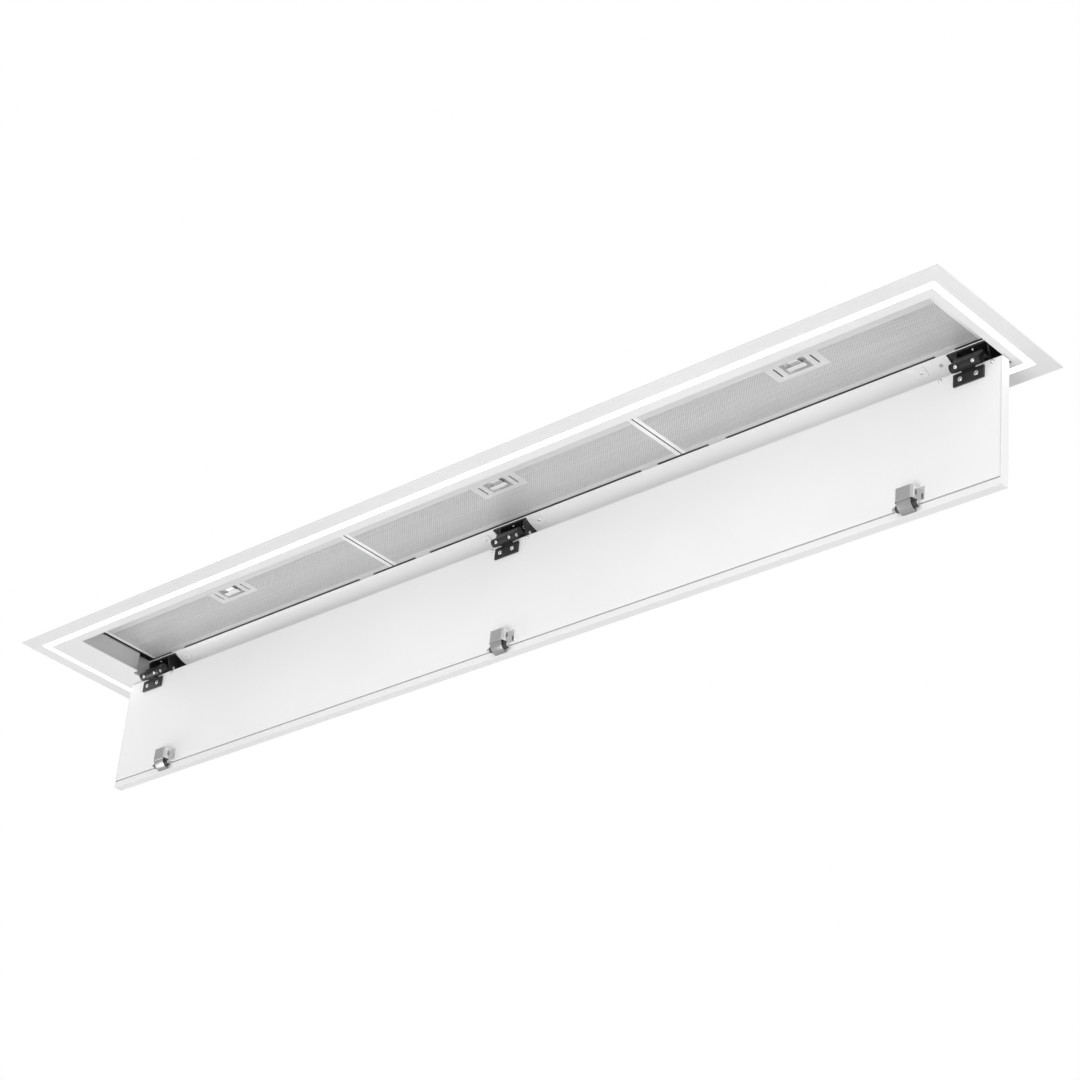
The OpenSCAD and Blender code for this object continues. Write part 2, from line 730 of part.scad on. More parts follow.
// Spring tongues: a quarter bow from the catch's front edge down to the panel's rim
module catch_springs() {
  centre = [-tongue_foot, -catch_end_u];
  color([0.6, 0.61, 0.62]) for (x = catch_x) on_panel(x) along_x(tongue_w) {
    polygon(concat(arc(centre, tongue_r, 180, 270, tongue_steps),
      arc(centre, tongue_r - tongue_t, 270, 180, tongue_steps)));
    translate([-catch_d + catch_t, -catch_end_u])
      square([catch_d - catch_t - tongue_r - tongue_foot + tongue_t, tongue_t]);
  }
}

// Roller pins with a round knob at the left end
module catch_pins() {
  l = roller_l + 2 * side_play + 2 * ear_t;
  color(chrome) for (x = catch_x) on_panel(x) translate([0, -roller_v, -roller_u]) {
    rod(roller_pin_r, l);
    translate([-(l + knob_l) / 2, 0, 0]) rod(knob_r, knob_l);
  }
}

module catch_roller(x) {
  color([0.3, 0.3, 0.31]) on_panel(x) translate([0, -roller_v, -roller_u]) difference() {
    rod(roller_r, roller_l);
    rod(roller_pin_r + run_play, roller_l + 2 * over);
  }
}

module catch_roller_left() { catch_roller(catch_x[0]); }
module catch_roller_mid() { catch_roller(catch_x[1]); }
module catch_roller_right() { catch_roller(catch_x[2]); }

// Filters

// Frame with the bolt's slot, the latch plate's seat and two hooks that turn on the rail's rolled edge
module filter_frame(i) {
  color(steel) difference() {
    union() {
      difference() {
        block([filter_x[i], filter_y0, filter_z],
          [filter_x[i] + filter_l[i], filter_y1, filter_z + filter_t]);
        block([filter_x[i] + bar_end, filter_y0 + bar_front, filter_z - over],
          [filter_x[i] + filter_l[i] - bar_end, filter_y1 - bar_rear, filter_z + filter_t + over]);
      }
      for (x = [filter_x[i] + hook_inset, filter_x[i] + filter_l[i] - hook_inset])
        block([x - hook_w / 2, filter_y1 - bar_rear / 2, filter_z],
          [x + hook_w / 2, hem_y + hook_reach, filter_z + hook_t]);
    }
    block([latch_x[i] - latch_l / 2, latch_y0, filter_z - over],
      [latch_x[i] + latch_l / 2, filter_y0 + bar_front + over, filter_z + latch_t]);
    block([latch_x[i] - bolt_w / 2 - side_play, filter_y0 - over, bolt_z - seat_gap],
      [latch_x[i] + bolt_w / 2 + side_play, filter_y0 + bar_front + over, bolt_z + bolt_t + seat_gap]);
  }
}

module filter_frame_left() { filter_frame(0); }
module filter_frame_mid() { filter_frame(1); }
module filter_frame_right() { filter_frame(2); }

// Pack of expanded mesh, cut away round the latch
module filter_mesh(i) {
  color([0.6, 0.61, 0.62]) difference() {
    block([filter_x[i] + bar_end, filter_y0 + bar_front, filter_z + mesh_inset],
      [filter_x[i] + filter_l[i] - bar_end, filter_y1 - bar_rear, filter_z + mesh_inset + mesh_t]);
    block([latch_x[i] - latch_l / 2, filter_y0, filter_z - over],
      [latch_x[i] + latch_l / 2, latch_y0 + latch_w, filter_z + filter_t]);
  }
}

module filter_mesh_left() { filter_mesh(0); }
module filter_mesh_mid() { filter_mesh(1); }
module filter_mesh_right() { filter_mesh(2); }

// Latch plate with its finger recess, a cup behind it, and a slot at each side
module latch_plate(i) {
  fx = finger_l / 2;
  color(steel) translate([latch_x[i], 0, filter_z]) difference() {
    union() {
      block([-latch_l / 2, latch_y0, 0], [latch_l / 2, latch_y0 + latch_w, latch_t]);
      block([-fx - cup_t, finger_y0 - cup_t, 0], [fx + cup_t, finger_y0 + finger_w + cup_t, cup_h]);
    }
    block([-fx, finger_y0, -over], [fx, finger_y0 + finger_w, cup_h - cup_t]);
    block([-bolt_w / 2 - side_play, finger_y0 - cup_t - over, latch_t],
      [bolt_w / 2 + side_play, finger_y0 + over, bolt_t + latch_t + 2 * seat_gap]);
    for (s = [-1, 1] * (fx + vent_shift))
      block([s - vent_w / 2, latch_y0 + (latch_w - vent_l) / 2, -over],
        [s + vent_w / 2, latch_y0 + (latch_w + vent_l) / 2, latch_t + over]);
  }
}

module latch_plate_left() { latch_plate(0); }
module latch_plate_mid() { latch_plate(1); }
module latch_plate_right() { latch_plate(2); }

// Bolt with its finger tab, shown drawn back
module latch_bolt(i) {
  color(chrome) translate([latch_x[i], 0, 0]) {
    block([-bolt_w / 2, bolt_y0, bolt_z], [bolt_w / 2, tab_y + tab_w, bolt_z + bolt_t]);
    block([-tab_l / 2, tab_y, filter_z - tab_proud], [tab_l / 2, tab_y + tab_w, bolt_z + bolt_t]);
  }
}

module latch_bolt_left() { latch_bolt(0); }
module latch_bolt_mid() { latch_bolt(1); }
module latch_bolt_right() { latch_bolt(2); }

// Ducts

// Collar with its lip on the housing, and a stop ring under the flaps
module duct_collar(x) {
  color(steel) translate([x, 0, roof_z]) difference() {
    union() {
      cylinder(r = duct_r, h = duct_l, $fn = 96);
      cylinder(r = duct_r + collar_lip, h = collar_t, $fn = 96);
    }
    translate([0, 0, damper_h - damper_t / 2 - seat_gap])
      cylinder(r = duct_r - collar_t, h = duct_l, $fn = 96);
    translate([0, 0, -over]) cylinder(r = duct_r - collar_t - stop_w, h = duct_l + 2 * over, $fn = 96);
    translate([0, 0, -over])
      cylinder(r = duct_r - collar_t, h = damper_h - damper_t / 2 - seat_gap - collar_t + over, $fn = 96);
    translate([0, 0, damper_h]) rotate([90, 0, 0])
      cylinder(r = damper_pin_r, h = 4 * duct_r, center = true);
  }
}

module duct_collar_left() { duct_collar(duct_x[0]); }
module duct_collar_right() { duct_collar(duct_x[1]); }

module damper_pins() {
  color(chrome) for (x = duct_x) translate([x, 0, damper_z]) rotate([90, 0, 0])
    cylinder(r = damper_pin_r, h = 2 * (duct_r - seat_gap), center = true);
}

// Half-round flap with two knuckles on the pin; side is the way it lies from the pin
module damper_flap(x, side) {
  r = duct_r - collar_t - damper_gap;
  reach = damper_knuckle_r + side_play;
  color([0.8, 0.8, 0.8]) translate([x, 0, damper_z]) mirror([side < 0 ? 1 : 0, 0, 0])
    difference() {
      union() {
        translate([0, 0, -damper_t / 2]) intersection() {
          cylinder(r = r, h = damper_t, $fn = 96);
          block([reach, -r, -over], [r, r, over + damper_t]);
        }
        for (y = [-3, 1] * damper_pitch / 4) translate([0, side * y, 0]) {
          rotate([90, 0, 0]) cylinder(r = damper_knuckle_r, h = damper_knuckle_l, center = true);
          block([0, -damper_knuckle_l / 2, -damper_t / 2],
            [reach + over, damper_knuckle_l / 2, damper_t / 2]);
        }
      }
      rotate([90, 0, 0]) cylinder(r = damper_pin_r + run_play, h = 2 * duct_r, center = true);
    }
}

module damper_left_a() { damper_flap(duct_x[0], -1); }
module damper_left_b() { damper_flap(duct_x[0], 1); }
module damper_right_a() { damper_flap(duct_x[1], -1); }
module damper_right_b() { damper_flap(duct_x[1], 1); }

// Electrics on the housing

module light_driver() {
  color([0.85, 0.85, 0.86]) translate([driver_x, 0, roof_z]) {
    block([-driver_size[0] / 2, -driver_size[1] / 2, 0],
      [driver_size[0] / 2, driver_size[1] / 2, driver_size[2]]);
    for (s = [-1, 1]) translate([s * (driver_size[0] + driver_ear) / 2, 0, 0]) difference() {
      translate([0, 0, driver_ear_t / 2])
        cube([driver_ear, driver_size[1] / 2, driver_ear_t], center = true);
      translate([0, 0, -over]) cylinder(r = driver_hole_r, h = driver_ear_t + 2 * over);
    }
  }
}

module terminal_box() {
  wall_x = box_size[0] / 2;
  color([0.8, 0.8, 0.8]) translate([box_x, 0, roof_z]) difference() {
    block([-wall_x, -box_size[1] / 2, 0], [wall_x, box_size[1] / 2, box_size[2]]);
    block([-wall_x + box_t, -box_size[1] / 2 + box_t, box_t],
      [wall_x - box_t, box_size[1] / 2 - box_t, box_size[2] + over]);
    translate([0, box_size[1] / 2 + over, box_size[2] / 2]) rotate([90, 0, 0])
      cylinder(r = gland_r, h = box_t + 2 * over);
  }
}

module terminal_lid() {
  color([0.75, 0.75, 0.75]) translate([box_x, 0, roof_z + box_size[2]]) {
    block([-box_size[0] / 2, -box_size[1] / 2, 0], [box_size[0] / 2, box_size[1] / 2, lid_t]);
    difference() {
      block([-box_size[0] / 2 + box_t + seat_gap, -box_size[1] / 2 + box_t + seat_gap, -lid_lap],
        [box_size[0] / 2 - box_t - seat_gap, box_size[1] / 2 - box_t - seat_gap, 0]);
      block([-box_size[0] / 2 + 2 * box_t, -box_size[1] / 2 + 2 * box_t, -lid_lap - over],
        [box_size[0] / 2 - 2 * box_t, box_size[1] / 2 - 2 * box_t, 0]);
    }
  }
}

// Gland for the supply lead in the box's wall
module cable_gland() {
  color([0.2, 0.2, 0.21]) translate([box_x, box_size[1] / 2, roof_z + box_size[2] / 2])
    rotate([-90, 0, 0]) difference() {
      union() {
        translate([0, 0, -box_t]) cylinder(r = gland_r, h = gland_l);
        cylinder(r = gland_nut_r, h = gland_nut_h, $fn = 6);
      }
      translate([0, 0, -box_t - over]) cylinder(r = gland_bore_r, h = gland_l + 2 * over);
    }
}

flange_frame();
light_channel();
light_diffuser();
light_strip();
inner_plate();
filter_bay();
hinge_rail();
rail_pads();
rail_rivets();
housing_shell();
housing_top();
hanging_lugs();
hinge_bracket_left();
hinge_bracket_mid();
hinge_bracket_right();
filter_frame_left();
filter_frame_mid();
filter_frame_right();
filter_mesh_left();
filter_mesh_mid();
filter_mesh_right();
latch_plate_left();
latch_plate_mid();
latch_plate_right();
latch_bolt_left();
latch_bolt_mid();
latch_bolt_right();
hinge_arm_left();
hinge_arm_mid();
hinge_arm_right();
arm_pins();
arm_rivets();
panel_tray();
panel_liner();
panel_studs();
hinge_leaf_left();
hinge_leaf_mid();
hinge_leaf_right();
leaf_pins();
leaf_screws();
catch_bracket_left();
catch_bracket_mid();
catch_bracket_right();
catch_magnets();
catch_springs();
catch_pins();
catch_roller_left();
catch_roller_mid();
catch_roller_right();
duct_collar_left();
duct_collar_right();
damper_pins();
damper_left_a();
damper_left_b();
damper_right_a();
damper_right_b();
light_driver();
terminal_box();
terminal_lid();
cable_gland();
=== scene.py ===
# %% [markdown]
# # A ceiling range hood, seen from below
# This hood lies flush in a ceiling. A pale flange holds a ring of light, and a plate inside the ring has a
# shallow bay with three mesh filters. A cover panel hangs open on three black hinges, and chrome catches
# hold it when it is shut. The solids come from a CAD model, in metres, each at its real place. This script
# gives them rounded edges, finishes, light and a camera, and adds what is too fine for the solids: the
# filters' wire, a painted highlight and painted shade on their end bars, the rail's rolled edge in front of
# the brackets, the screws' cross slots and the rivets' domes.

import json
import math
import random

import bpy
from mathutils import Matrix, Vector

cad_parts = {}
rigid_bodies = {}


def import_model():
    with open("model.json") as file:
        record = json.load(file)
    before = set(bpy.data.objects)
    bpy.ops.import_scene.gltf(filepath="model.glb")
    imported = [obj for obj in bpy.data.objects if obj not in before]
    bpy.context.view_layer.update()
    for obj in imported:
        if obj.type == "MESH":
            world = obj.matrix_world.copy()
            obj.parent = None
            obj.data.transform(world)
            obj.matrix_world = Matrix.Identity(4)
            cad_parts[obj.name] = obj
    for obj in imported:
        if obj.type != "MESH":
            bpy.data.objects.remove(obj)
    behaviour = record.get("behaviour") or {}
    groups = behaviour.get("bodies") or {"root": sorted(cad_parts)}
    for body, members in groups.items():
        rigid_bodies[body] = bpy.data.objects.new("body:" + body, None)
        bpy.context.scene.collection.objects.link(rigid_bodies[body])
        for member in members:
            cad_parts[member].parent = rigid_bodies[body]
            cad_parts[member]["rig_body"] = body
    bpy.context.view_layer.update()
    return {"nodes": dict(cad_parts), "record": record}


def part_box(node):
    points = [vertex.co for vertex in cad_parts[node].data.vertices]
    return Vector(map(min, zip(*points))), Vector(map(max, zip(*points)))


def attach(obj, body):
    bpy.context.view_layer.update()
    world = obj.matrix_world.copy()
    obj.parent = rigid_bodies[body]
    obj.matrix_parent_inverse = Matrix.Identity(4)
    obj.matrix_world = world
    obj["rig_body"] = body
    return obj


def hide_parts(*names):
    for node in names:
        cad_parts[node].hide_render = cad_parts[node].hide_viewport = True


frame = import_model()
NODES = frame["nodes"]
MM = 0.001
SIDES = ("left", "mid", "right")
random.seed(4)

# %% [markdown]
# ## One piece at a time
# Blender's operators act on what is selected, and the loaded solids all arrive selected. So every step
# starts by selecting one object alone, as a click in the viewport would.

# %% Select one object alone
def only(piece):
    """Deselects all, then selects one piece and makes it active."""
    bpy.ops.object.select_all(action="DESELECT")
    piece.select_set(True)
    bpy.context.view_layer.objects.active = piece
    return piece


# %% [markdown]
# ## Camera
# The camera stands below the hood's right end and looks up along it. Its place, angles and lens could be
# tried by eye. Here they were found by fitting a pinhole camera to the corners of the flange, the light
# ring and the opening, because the long straight edges show the smallest error.

# %% Set the camera
CAMERA_AT = Vector((2.5353, -2.1447, -1.9170))
CAMERA_YAW = math.radians(138.124)
CAMERA_PITCH = math.radians(29.849)
CAMERA_ROLL = math.radians(8.394)
LENS_PIXELS = 2731.2
FRAME_PIXELS = 1080
SENSOR_MM = 36

forward = Vector((math.cos(CAMERA_YAW) * math.cos(CAMERA_PITCH),
                  math.sin(CAMERA_YAW) * math.cos(CAMERA_PITCH), math.sin(CAMERA_PITCH)))
level = forward.cross(Vector((0, 0, 1))).normalized()
above = level.cross(forward)
right = math.cos(CAMERA_ROLL) * level + math.sin(CAMERA_ROLL) * above
up = math.cos(CAMERA_ROLL) * above - math.sin(CAMERA_ROLL) * level
camera_data = bpy.data.cameras.new("camera")
camera_data.sensor_width = SENSOR_MM
camera_data.lens = LENS_PIXELS / FRAME_PIXELS * SENSOR_MM
camera = bpy.data.objects.new("camera", camera_data)
camera.matrix_world = Matrix.Translation(CAMERA_AT) @ Matrix((right, up, -forward)).transposed().to_4x4()
bpy.context.scene.collection.objects.link(camera)
bpy.context.scene.camera = camera
print("lens in mm:", round(camera_data.lens, 2))

# %% [markdown]
# ## Light and surroundings
# A hood's surfaces face down, so a studio lights them from below, and the world fills in from all sides. A
# brighter world would also make the background white, but it would bleach the paint. So a Light Path node
# shows the camera a plain white world, as on a cut-out product picture, and does so through glass as well.
# The hood is lit by the weaker fill, and its metal reflects that fill too.

# %% World
WHITE = (1, 1, 1, 1)
FILL_LEVEL = 0.62


def maths(tree, operation, first, second=None):
    """A Math node on sockets or numbers; returns its output."""
    node = tree.nodes.new("ShaderNodeMath")
    node.operation = operation
    for socket, value in zip(node.inputs, (first, second)):
        if value is None:
            continue
        if isinstance(value, (int, float)):
            socket.default_value = value
        else:
            tree.links.new(value, socket)
    return node.outputs[0]


def blend(tree, share, first, second):
    """A Mix Shader that shows the first shader at a share of 0 and the second at 1; returns its output."""
    mix = tree.nodes.new("ShaderNodeMixShader")
    for socket, value in zip(mix.inputs, (share, first, second)):
        tree.links.new(value, socket)
    return mix.outputs[0]


world = bpy.data.worlds.new("studio")
bpy.context.scene.world = world
world.use_nodes = True
tree = world.node_tree
room_light = tree.nodes["Background"]
room_light.inputs["Color"].default_value = WHITE
room_light.inputs["Strength"].default_value = FILL_LEVEL
backdrop = tree.nodes.new("ShaderNodeBackground")
backdrop.inputs["Color"].default_value = WHITE
path = tree.nodes.new("ShaderNodeLightPath")
seen = maths(tree, "MAXIMUM", path.outputs["Is Camera Ray"], path.outputs["Is Transmission Ray"])
tree.links.new(blend(tree, seen, room_light.outputs[0], backdrop.outputs[0]),
               tree.nodes["World Output"].inputs["Surface"])
bpy.context.scene.view_settings.view_transform = "Standard"
print("world fill:", FILL_LEVEL)

# %% [markdown]
# The floor is a plain pale sheet, a room's height below the hood. It throws light back up at all that faces
# down, which lamps alone would do only in patches. The photograph's camera looks up and never sees it.

# %% Floor
FLOOR_Z = -2.3
FLOOR_SIZE = 14
FLOOR_GREY = 0.86
FLOOR_ROUGHNESS = 0.9
bpy.ops.mesh.primitive_plane_add(size=FLOOR_SIZE, location=(0, 0, FLOOR_Z))
floor = bpy.context.object
floor.name = "floor"
floor_paint = bpy.data.materials.new("floor_paint")
floor_paint.use_nodes = True
floor_shader = floor_paint.node_tree.nodes["Principled BSDF"]
floor_shader.inputs["Base Color"].default_value = (FLOOR_GREY, FLOOR_GREY, FLOOR_GREY, 1)
floor_shader.inputs["Roughness"].default_value = FLOOR_ROUGHNESS
floor.data.materials.append(floor_paint)
print("floor at", FLOOR_Z)

# %% [markdown]
# The hood hangs in a ceiling, and the housing above it is never seen from the room. So a plain white
# ceiling with the hood's cut-out lies behind the flange. It is one large rectangle, inset, with its middle
# deleted. It shows only from below and only to the camera, and neither shades nor lights anything. From
# above it isn't there, and the housing is in full view.

# %% Ceiling with its cut-out
CUT_OUT_X = 0.8795
CUT_OUT_Y = 0.10575
CEILING_MARGIN = 4.0
CEILING_Z = 0.0005
bpy.ops.mesh.primitive_plane_add(size=1, location=(0, 0, CEILING_Z))
ceiling = bpy.context.object
ceiling.name = "ceiling"
ceiling.scale = (2 * (CUT_OUT_X + CEILING_MARGIN), 2 * (CUT_OUT_Y + CEILING_MARGIN), 1)
only(ceiling)
bpy.ops.object.transform_apply(location=True, rotation=True, scale=True)
bpy.ops.object.mode_set(mode="EDIT")
bpy.ops.mesh.select_all(action="SELECT")
bpy.ops.mesh.inset(thickness=CEILING_MARGIN)
bpy.ops.mesh.delete(type="FACE")
bpy.ops.object.mode_set(mode="OBJECT")

ceiling_white = bpy.data.materials.new("ceiling_white")
ceiling_white.use_nodes = True
tree = ceiling_white.node_tree
tree.nodes.remove(tree.nodes["Principled BSDF"])
plain = tree.nodes.new("ShaderNodeEmission")
plain.inputs["Color"].default_value = WHITE
plain.inputs["Strength"].default_value = 1
clear = tree.nodes.new("ShaderNodeBsdfTransparent")
path = tree.nodes.new("ShaderNodeLightPath")
facing = tree.nodes.new("ShaderNodeNewGeometry")
from_below = maths(tree, "MULTIPLY", path.outputs["Is Camera Ray"], facing.outputs["Backfacing"])
tree.links.new(blend(tree, from_below, clear.outputs[0], plain.outputs[0]),
               tree.nodes["Material Output"].inputs["Surface"])
ceiling.data.materials.append(ceiling_white)
print("ceiling faces:", len(ceiling.data.polygons))

# %% [markdown]
# The key lamp is a large square near the camera and lights the panel and the plate from the front. A
# smaller one beyond the left end lights what faces that way, and one off the right end lights the panel's
# near end. A sun or a spot would draw hard shadows on the thin sheets. A wide square keeps them soft.

# %% Lamps
HOOD_MIDDLE = Vector((0, 0, 0))


def soft_lamp(name, place, size, watts):
    """A square area lamp that points at the hood's middle."""
    data = bpy.data.lights.new(name, "AREA")
    data.shape = "SQUARE"
    data.size = size
    data.energy = watts
    lamp = bpy.data.objects.new(name, data)
    lamp.location = place
    lamp.rotation_euler = (HOOD_MIDDLE - Vector(place)).to_track_quat("-Z", "Y").to_euler()
    bpy.context.scene.collection.objects.link(lamp)


soft_lamp("key", (1.0, -2.2, -1.9), 1.8, 47)
soft_lamp("side", (-2.4, -0.6, -1.2), 1.2, 14)
soft_lamp("end", (2.8, 0.0, -0.35), 0.6, 16)

# %% [markdown]
# ## Finishes
# The hood is painted, brushed, zinc-coated and chromed sheet. A photograph of each could be wrapped round
# the pieces, but it would need an unwrapped mesh. A few nodes need none, and they work at any size.
# Colours are written as a level on the screen, because that is what a photograph shows.

# %% A finish and its grey
def new_finish(name, colour, roughness, metallic=0.0):
    """A Principled material with its constants on the shader; returns the material, tree and shader."""
    material = bpy.data.materials.new(name)
    material.use_nodes = True
    shader = material.node_tree.nodes["Principled BSDF"]
    shader.inputs["Base Color"].default_value = (*colour, 1)
    shader.inputs["Roughness"].default_value = roughness
    shader.inputs["Metallic"].default_value = metallic
    return material, material.node_tree, shader


def grey(level):
    """A neutral grey from its level on the screen, 0 to 255, by the sRGB curve."""
    share = level / 255
    value = share / 12.92 if share <= 0.04045 else ((share + 0.055) / 1.055) ** 2.4
    return (value, value, value)


print("middle grey:", round(grey(128)[0], 3))

# %% [markdown]
# Every pattern reads the object's own coordinates, so that it stays put when a piece moves. A pattern can
# drift the colour between two greys, or raise the surface a little, and some finishes use it for both.

# %% Patterns in the object's own coordinates
DARK_AT = 0.3
LIGHT_AT = 0.7


def noise(tree, stretch, scale, detail=2.0):
    """Noise on the object's coordinates, stretched by a scale for each axis."""
    place = tree.nodes.new("ShaderNodeTexCoord")
    mapping = tree.nodes.new("ShaderNodeMapping")
    mapping.inputs["Scale"].default_value = stretch
    pattern = tree.nodes.new("ShaderNodeTexNoise")
    pattern.inputs["Scale"].default_value = scale
    pattern.inputs["Detail"].default_value = detail
    tree.links.new(place.outputs["Object"], mapping.inputs["Vector"])
    tree.links.new(mapping.outputs["Vector"], pattern.inputs["Vector"])
    return pattern


def tone(tree, shader, pattern, dark, light):
    """Lets a pattern drift the base colour between two greys."""
    ramp = tree.nodes.new("ShaderNodeValToRGB")
    for end, place, colour in zip(ramp.color_ramp.elements, (DARK_AT, LIGHT_AT), (dark, light)):
        end.position = place
        end.color = (*colour, 1)
    tree.links.new(pattern.outputs["Fac"], ramp.inputs["Fac"])
    tree.links.new(ramp.outputs["Color"], shader.inputs["Base Color"])


def bumps(tree, shader, pattern, strength, height):
    """Raises a surface by a pattern; the height is in metres."""
    bump = tree.nodes.new("ShaderNodeBump")
    bump.inputs["Strength"].default_value = strength
    bump.inputs["Distance"].default_value = height
    tree.links.new(pattern.outputs["Fac"], bump.inputs["Height"])
    tree.links.new(bump.outputs["Normal"], shader.inputs["Normal"])


print("patterns: noise, tone, bumps")

# %% [markdown]
# Powder coat has a faint orange peel and a slow drift of tone. Brushed sheet has fine scratches along its
# length, so its noise is stretched that way. Zinc grows in flat crystals, which a Voronoi texture gives as
# cells, and each cell takes its own grey from its random colour.

# %% Powder coat, brushed sheet and zinc
EVEN = (1, 1, 1)
DRIFT = 3.0
PEEL = 900.0
PEEL_STRENGTH = 0.12
PEEL_HEIGHT = 0.00005
SCRATCH_SCALE = 1.0
SCRATCH_DETAIL = 3.0
SCRATCH_STRENGTH = 0.1
SCRATCH_HEIGHT = 0.00004
SPANGLES = 70.0
ZINC_ROUGHNESS = 0.45
ZINC_METALLIC = 0.55


def powder_coat(name, level, spread=3, roughness=0.42):
    """Painted sheet: a slow drift of tone and a faint orange peel."""
    material, tree, shader = new_finish(name, grey(level), roughness)
    tone(tree, shader, noise(tree, EVEN, DRIFT), grey(level - spread), grey(level + spread))
    bumps(tree, shader, noise(tree, EVEN, PEEL), PEEL_STRENGTH, PEEL_HEIGHT)
    return material


def brushed(name, level, stretch, spread=8, roughness=0.34, metallic=0.75):
    """Brushed sheet: fine scratches along the axis whose stretch is small."""
    material, tree, shader = new_finish(name, grey(level), roughness, metallic)
    scratches = noise(tree, stretch, SCRATCH_SCALE, SCRATCH_DETAIL)
    tone(tree, shader, scratches, grey(level - spread), grey(level + spread))
    bumps(tree, shader, scratches, SCRATCH_STRENGTH, SCRATCH_HEIGHT)
    return material


def galvanised(name, dark, light):
    """Zinc-coated sheet: flat crystals, each with a grey of its own."""
    material, tree, shader = new_finish(name, grey(light), ZINC_ROUGHNESS, ZINC_METALLIC)
    place = tree.nodes.new("ShaderNodeTexCoord")
    crystals = tree.nodes.new("ShaderNodeTexVoronoi")
    crystals.inputs["Scale"].default_value = SPANGLES
    tree.links.new(place.outputs["Object"], crystals.inputs["Vector"])
    parts = tree.nodes.new("ShaderNodeSeparateColor")
    tree.links.new(crystals.outputs["Color"], parts.inputs[0])
    ramp = tree.nodes.new("ShaderNodeValToRGB")
    ramp.color_ramp.elements[0].color = (*grey(dark), 1)
    ramp.color_ramp.elements[1].color = (*grey(light), 1)
    tree.links.new(parts.outputs[0], ramp.inputs["Fac"])
    tree.links.new(ramp.outputs["Color"], shader.inputs["Base Color"])
    return material


print("zinc crystals to the metre:", SPANGLES)

# %% [markdown]
# The levels were set by comparing the render with the photograph, one surface at a time. The brushed sheets
# are only partly metallic: a full metal would mirror the dark bay, where the real sheet looks pale.

# %% Mix the finishes
ALONG_X = (6, 900, 900)
ALONG_Y = (900, 6, 900)
flange_paint = powder_coat("flange_paint", 232)
plate_finish = powder_coat("plate_finish", 232)
panel_paint = powder_coat("panel_paint", 241)
liner_paint = powder_coat("liner_paint", 245)
rail_paint = powder_coat("rail_paint", 236, roughness=0.3)
bay_steel = brushed("bay_steel", 206, ALONG_X, metallic=0.4)
frame_steel = brushed("frame_steel", 224, ALONG_X, metallic=0.35)
# The end bars' finishes: a painted highlight for their down faces and painted shade for their inner walls.
bar_painted_highlight = brushed("bar_painted_highlight", 250, ALONG_Y, spread=3, metallic=0.1)
bar_shade = brushed("bar_shade", 70, ALONG_Y, metallic=0.2)
latch_steel = brushed("latch_steel", 222, ALONG_X, metallic=0.35)
mesh_metal = brushed("mesh_metal", 217, ALONG_X, metallic=0.25)
mesh_back = brushed("mesh_back", 198, ALONG_X, metallic=0.1)
zinc = galvanised("zinc", 176, 204)
spring_steel = brushed("spring_steel", 176, ALONG_X, metallic=0.8)
# The magnets' own grey. It is also put on the catches' flat fronts as a painted reflection.
magnet_grey = brushed("magnet_grey", 168, ALONG_Y, metallic=0.3)
chrome_bright = brushed("chrome_bright", 236, ALONG_X, spread=4, roughness=0.14, metallic=1.0)
knob_steel = brushed("knob_steel", 186, ALONG_X, metallic=0.6)
hinge_black = powder_coat("hinge_black", 34, spread=4, roughness=0.3)
roller_black = powder_coat("roller_black", 62, spread=5, roughness=0.5)
case_plastic = powder_coat("case_plastic", 226, roughness=0.5)
gland_plastic = powder_coat("gland_plastic", 50, roughness=0.5)
strip_board = powder_coat("strip_board", 240, roughness=0.5)
print("finishes:", len(bpy.data.materials))

# %% [markdown]
# ## The light ring
# An opal strip glows evenly over its whole width, so it is a plain emission. At the corners the strips
# meet in mitres, which show as hairlines. They could be cut in the mesh. Here they are where the distances
# to the two outer edges are equal, which the material works out, so the strip stays one piece.

# %% Opal strip
LIGHT_LEVEL = 1.6
OPAL_ROUGHNESS = 0.4
HAIRLINE = 0.0006
MITRE_SHARE = 0.4
OPEN_SHARE = 0.6

opal, tree, shader = new_finish("opal", WHITE[:3], OPAL_ROUGHNESS)
place = tree.nodes.new("ShaderNodeTexCoord")
split = tree.nodes.new("ShaderNodeSeparateXYZ")
tree.links.new(place.outputs["Object"], split.inputs[0])
low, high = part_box("light_diffuser")
from_end = maths(tree, "SUBTRACT", high.x, maths(tree, "ABSOLUTE", split.outputs["X"]))
from_side = maths(tree, "SUBTRACT", high.y, maths(tree, "ABSOLUTE", split.outputs["Y"]))
off_mitre = maths(tree, "ABSOLUTE", maths(tree, "SUBTRACT", from_end, from_side))
opening = maths(tree, "MULTIPLY", maths(tree, "GREATER_THAN", off_mitre, HAIRLINE), LIGHT_LEVEL * OPEN_SHARE)
glow = maths(tree, "ADD", opening, LIGHT_LEVEL * MITRE_SHARE)
shader.inputs["Emission Color"].default_value = WHITE
tree.links.new(glow, shader.inputs["Emission Strength"])
print("light ring:", [round(2 * reach, 4) for reach in (high.x, high.y)])

# %% [markdown]
# ## Rounded edges
# A solid arrives as loose triangles. A bevel would catch on every one of them, so a copy is merged and its
# flat faces are joined first. A finished piece then has its place written into its mesh and says which
# body carries it, and the solids it stands for are hidden.

# %% Copy, soften and settle a solid
MERGE_DISTANCE = 0.000005
FLAT_ANGLE = 1


def apply_all(piece):
    """Applies a piece's modifiers, in their order."""
    only(piece)
    for modifier in list(piece.modifiers):
        bpy.ops.object.modifier_apply(modifier=modifier.name)


